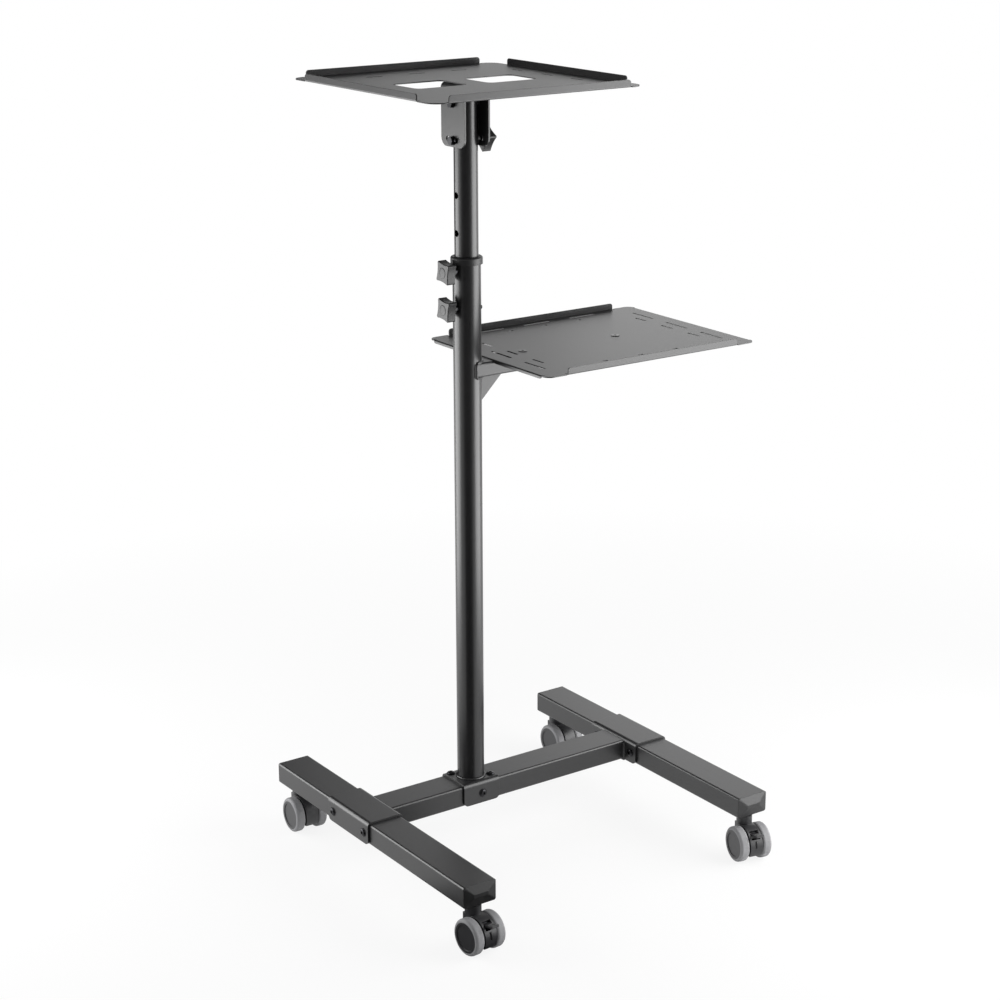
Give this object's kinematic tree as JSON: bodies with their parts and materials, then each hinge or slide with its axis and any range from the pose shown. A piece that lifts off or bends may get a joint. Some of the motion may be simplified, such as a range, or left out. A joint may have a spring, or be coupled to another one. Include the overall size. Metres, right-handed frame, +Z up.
{
  "type": "portable projector stand",
  "caption": "Wheeled steel stand with a telescopic column, a tilting slotted top tray for a projector, a lower side shelf, clamp knobs and braked casters.",
  "frame": {"origin": "on the floor, under the middle of the whole outline", "axes": "+X along the cross beam from the column to the side shelf, +Y along the legs away from the braked casters, +Z up"},
  "size_m": [0.5906, 0.5114, 1.0801],
  "materials": {
    "black_powder_coat": "fine-texture black powder coat on steel",
    "black_steel": "black zinc plated steel",
    "black_plastic": "moulded satin black",
    "caster_plastic": "moulded dark grey nylon",
    "grey_tyre": "soft grey non-marking tread"
  },
  "bodies": {
    "base": {"left_leg": "black_powder_coat", "right_leg": "black_powder_coat", "cross_beam": "black_powder_coat", "left_saddle": "black_powder_coat", "right_saddle": "black_powder_coat", "column_foot": "black_powder_coat", "lower_tube": "black_powder_coat", "side_shelf": "black_powder_coat", "shelf_arm": "black_powder_coat", "shelf_gusset": "black_powder_coat", "left_leg_near_cap": "black_plastic", "left_leg_far_cap": "black_plastic", "right_leg_near_cap": "black_plastic", "right_leg_far_cap": "black_plastic", "guide_bush": "black_plastic", "clamp_nuts": "black_steel", "near_left_caster_stem": "black_steel", "near_right_caster_stem": "black_steel", "far_left_caster_stem": "black_steel", "far_right_caster_stem": "black_steel"},
    "upper_column": {"upper_tube": "black_powder_coat", "tilt_spacers": "black_plastic", "pivot_bolt": "black_steel", "tilt_bolt": "black_steel"},
    "tray_head": {"tilt_bracket": "black_powder_coat", "top_tray": "black_powder_coat"},
    "tilt_knob": {"tilt_knob": "black_plastic"},
    "upper_clamp_knob": {"upper_clamp_knob": "black_plastic"},
    "lower_clamp_knob": {"lower_clamp_knob": "black_plastic"},
    "near_left_caster": {"near_left_caster_hood": "caster_plastic"},
    "near_left_wheels": {"near_left_caster_hubs": "caster_plastic", "near_left_caster_tyres": "grey_tyre"},
    "near_left_pedal": {"near_left_brake_pedal": "caster_plastic"},
    "near_right_caster": {"near_right_caster_hood": "caster_plastic"},
    "near_right_wheels": {"near_right_caster_hubs": "caster_plastic", "near_right_caster_tyres": "grey_tyre"},
    "near_right_pedal": {"near_right_brake_pedal": "caster_plastic"},
    "far_left_caster": {"far_left_caster_hood": "caster_plastic"},
    "far_left_wheels": {"far_left_caster_hubs": "caster_plastic", "far_left_caster_tyres": "grey_tyre"},
    "far_right_caster": {"far_right_caster_hood": "caster_plastic"},
    "far_right_wheels": {"far_right_caster_hubs": "caster_plastic", "far_right_caster_tyres": "grey_tyre"}
  },
  "joints": [
    {"name": "height_slide", "type": "slide", "parent": "base", "child": "upper_column", "axis": [0, 0, 1], "range_m": [-0.1, 0.2]},
    {"name": "tray_tilt", "type": "hinge", "parent": "upper_column", "child": "tray_head", "pos_m": [-0.0912, 0.05517, 1.0451], "axis": [1, 0, 0], "range_deg": [-15, 15]},
    {"name": "tilt_knob_turn", "type": "hinge", "parent": "upper_column", "child": "tilt_knob", "pos_m": [-0.0912, 0.05517, 0.9971], "axis": [1, 0, 0], "continuous": true},
    {"name": "upper_clamp_turn", "type": "hinge", "parent": "base", "child": "upper_clamp_knob", "pos_m": [-0.0912, 0.05517, 0.8253], "axis": [1, 0, 0], "continuous": true},
    {"name": "lower_clamp_turn", "type": "hinge", "parent": "base", "child": "lower_clamp_knob", "pos_m": [-0.0912, 0.05517, 0.7753], "axis": [1, 0, 0], "continuous": true},
    {"name": "near_left_swivel", "type": "hinge", "parent": "base", "child": "near_left_caster", "pos_m": [-0.2672, -0.20833, 0.066], "axis": [0, 0, 1], "continuous": true},
    {"name": "near_left_roll", "type": "hinge", "parent": "near_left_caster", "child": "near_left_wheels", "pos_m": [-0.26622, -0.2223, 0.025], "axis": [0.9976, 0.0698, 0], "continuous": true},
    {"name": "near_left_brake", "type": "hinge", "parent": "near_left_caster", "child": "near_left_pedal", "pos_m": [-0.26563, -0.23078, 0.0405], "axis": [0.9976, 0.0698, 0], "range_deg": [0, 18]},
    {"name": "near_right_swivel", "type": "hinge", "parent": "base", "child": "near_right_caster", "pos_m": [0.1928, -0.20833, 0.066], "axis": [0, 0, 1], "continuous": true},
    {"name": "near_right_roll", "type": "hinge", "parent": "near_right_caster", "child": "near_right_wheels", "pos_m": [0.18989, -0.22202, 0.025], "axis": [0.9781, -0.2079, 0], "continuous": true},
    {"name": "near_right_brake", "type": "hinge", "parent": "near_right_caster", "child": "near_right_pedal", "pos_m": [0.18812, -0.23034, 0.0405], "axis": [0.9781, -0.2079, 0], "range_deg": [0, 18]},
    {"name": "far_left_swivel", "type": "hinge", "parent": "base", "child": "far_left_caster", "pos_m": [-0.2672, 0.23667, 0.066], "axis": [0, 0, 1], "continuous": true},
    {"name": "far_left_roll", "type": "hinge", "parent": "far_left_caster", "child": "far_left_wheels", "pos_m": [-0.26793, 0.22269, 0.025], "axis": [0.9986, -0.0523, 0], "continuous": true},
    {"name": "far_right_swivel", "type": "hinge", "parent": "base", "child": "far_right_caster", "pos_m": [0.1928, 0.23667, 0.066], "axis": [0, 0, 1], "continuous": true},
    {"name": "far_right_roll", "type": "hinge", "parent": "far_right_caster", "child": "far_right_wheels", "pos_m": [0.1928, 0.22267, 0.025], "axis": [1, 0, 0], "continuous": true}
  ]
}
